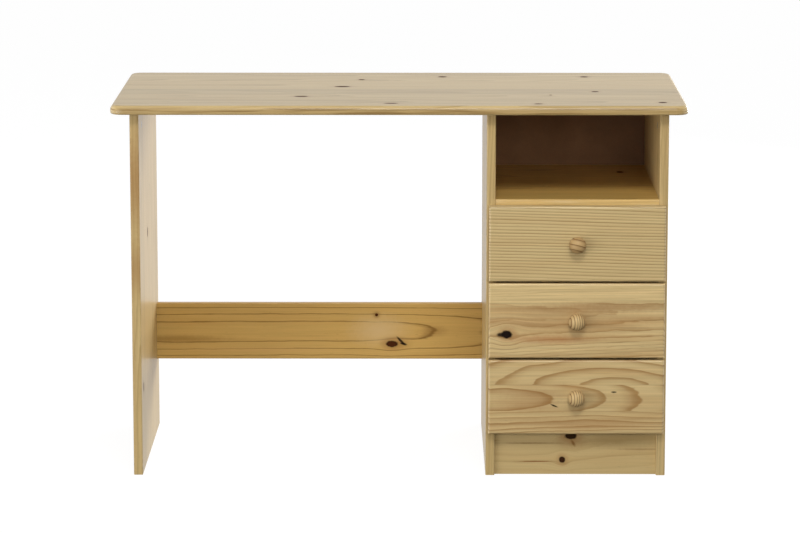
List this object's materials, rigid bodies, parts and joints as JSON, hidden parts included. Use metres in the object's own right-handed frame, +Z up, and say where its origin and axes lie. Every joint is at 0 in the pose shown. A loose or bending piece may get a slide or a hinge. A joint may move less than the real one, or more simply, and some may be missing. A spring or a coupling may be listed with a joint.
{
  "type": "kneehole desk",
  "caption": "Pine writing desk with an overhanging top on one leg panel and a drawer pedestal: open compartment above sliding drawers with turned knobs, and a rear rail.",
  "frame": {"origin": "on the floor, midway between the ends of the top and midway between the tips of the drawer knobs and the back edge of the top", "axes": "+X to the right as the sitter sees it, along the top; +Y from the sitter to the back; +Z up"},
  "size_m": [1.14, 0.5684, 0.75],
  "materials": {
    "lacquered_pine": "satin clear lacquer",
    "turned_pine": "satin clear lacquer",
    "plain_pine": "planed, sealed",
    "hardboard": "smooth brown face",
    "beech_runner": "planed, bare",
    "beech_dowel": "fluted, bare",
    "zinc_plated_steel": "bright zinc",
    "zinc_casting": "dull cast zinc"
  },
  "bodies": {
    "desk_frame": {"desk_top": "lacquered_pine", "left_leg_panel": "lacquered_pine", "pedestal_left_side": "lacquered_pine", "pedestal_right_side": "lacquered_pine", "rear_rail": "lacquered_pine", "compartment_shelf": "lacquered_pine", "pedestal_base": "lacquered_pine", "plinth_board": "lacquered_pine", "back_panel": "hardboard", "top_dowels": "beech_dowel", "rail_dowels": "beech_dowel", "pedestal_dowels": "beech_dowel", "top_cam_bolts": "zinc_plated_steel", "rail_cam_bolts": "zinc_plated_steel", "pedestal_cam_bolts": "zinc_plated_steel", "runner_screws": "zinc_plated_steel", "back_panel_nails": "zinc_plated_steel", "top_cam_locks": "zinc_casting", "rail_cam_locks": "zinc_casting", "shelf_cam_locks": "zinc_casting", "base_cam_locks": "zinc_casting", "upper_runner_left": "beech_runner", "upper_runner_right": "beech_runner", "middle_runner_left": "beech_runner", "middle_runner_right": "beech_runner", "lower_runner_left": "beech_runner", "lower_runner_right": "beech_runner"},
    "upper_drawer": {"upper_drawer_front": "lacquered_pine", "upper_drawer_left_side": "plain_pine", "upper_drawer_right_side": "plain_pine", "upper_drawer_back": "plain_pine", "upper_drawer_bottom": "hardboard", "upper_drawer_dowels": "beech_dowel", "upper_drawer_knob": "turned_pine", "upper_knob_screw": "zinc_plated_steel"},
    "middle_drawer": {"middle_drawer_front": "lacquered_pine", "middle_drawer_left_side": "plain_pine", "middle_drawer_right_side": "plain_pine", "middle_drawer_back": "plain_pine", "middle_drawer_bottom": "hardboard", "middle_drawer_dowels": "beech_dowel", "middle_drawer_knob": "turned_pine", "middle_knob_screw": "zinc_plated_steel"},
    "lower_drawer": {"lower_drawer_front": "lacquered_pine", "lower_drawer_left_side": "plain_pine", "lower_drawer_right_side": "plain_pine", "lower_drawer_back": "plain_pine", "lower_drawer_bottom": "hardboard", "lower_drawer_dowels": "beech_dowel", "lower_drawer_knob": "turned_pine", "lower_knob_screw": "zinc_plated_steel"}
  },
  "joints": [
    {"name": "upper_drawer_slide", "type": "slide", "parent": "desk_frame", "child": "upper_drawer", "axis": [0, -1, 0], "range_m": [0, 0.32]},
    {"name": "middle_drawer_slide", "type": "slide", "parent": "desk_frame", "child": "middle_drawer", "axis": [0, -1, 0], "range_m": [0, 0.32]},
    {"name": "lower_drawer_slide", "type": "slide", "parent": "desk_frame", "child": "lower_drawer", "axis": [0, -1, 0], "range_m": [0, 0.32]}
  ]
}
